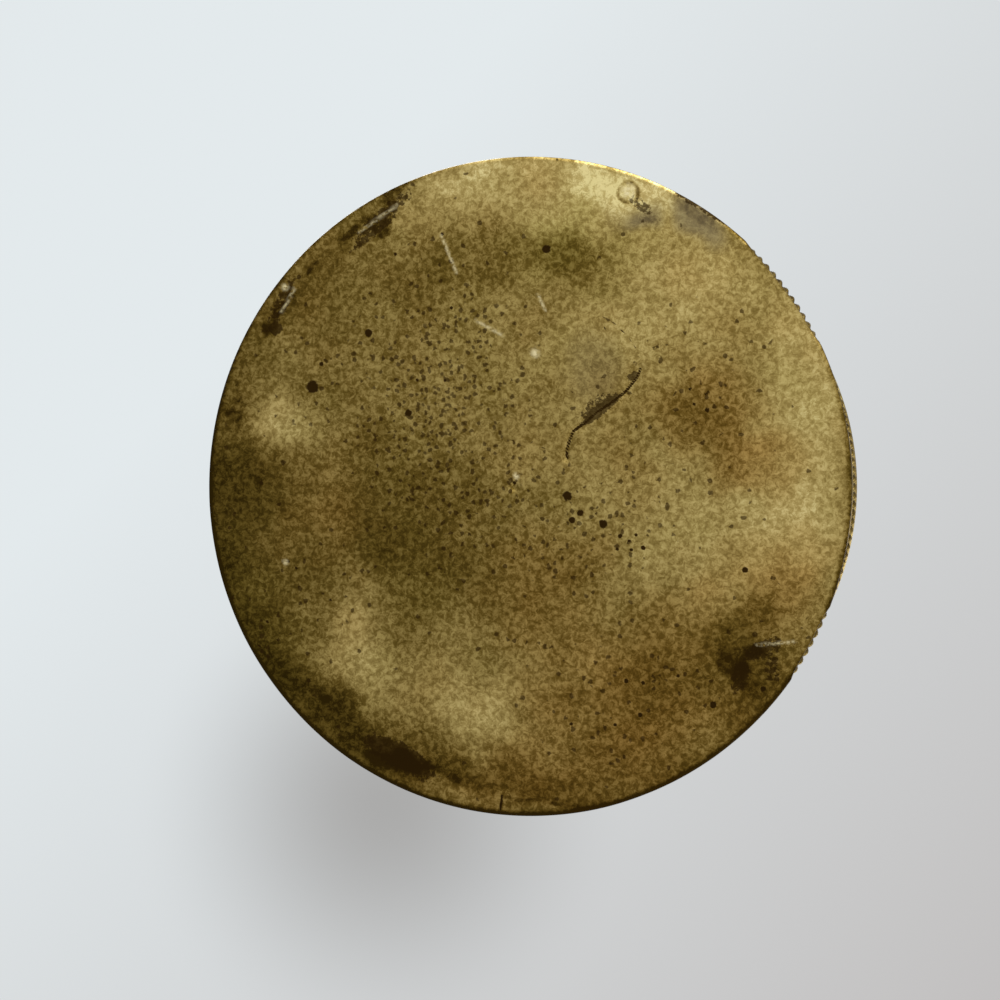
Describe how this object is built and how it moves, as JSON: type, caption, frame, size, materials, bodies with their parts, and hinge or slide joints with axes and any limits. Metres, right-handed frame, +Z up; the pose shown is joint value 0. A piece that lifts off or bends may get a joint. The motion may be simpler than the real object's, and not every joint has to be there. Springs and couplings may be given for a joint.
{
  "type": "trinket box",
  "caption": "Round sheet brass trinket box with twisted wire borders and a slip-on lid that lifts straight off an inner collar.",
  "frame": {"origin": "centre of the underside of the base disc, on the surface the box stands on", "axes": "+Z up along the box's axis from base to lid; the butt joint of the lid's rope border lies 18 degrees from +X towards +Y"},
  "size_m": [0.07, 0.07, 0.0394],
  "materials": {
    "brass_sheet": "aged satin, olive-brown patina with dark spots",
    "brass_wire": "tarnished, brighter on the strands' crowns",
    "solder": "dull grey"
  },
  "bodies": {
    "box": {"base_disc": "brass_sheet", "body_wall": "brass_sheet", "inner_collar": "brass_sheet", "base_rope": "brass_wire", "base_solder": "solder"},
    "lid": {"lid_disc": "brass_sheet", "lid_skirt": "brass_sheet", "lid_rope": "brass_wire", "lid_lip_wire": "brass_wire", "lid_solder": "solder"}
  },
  "joints": [
    {"name": "lid_lift", "type": "slide", "parent": "box", "child": "lid", "axis": [0, 0, 1], "range_m": [0, 0.04]}
  ]
}
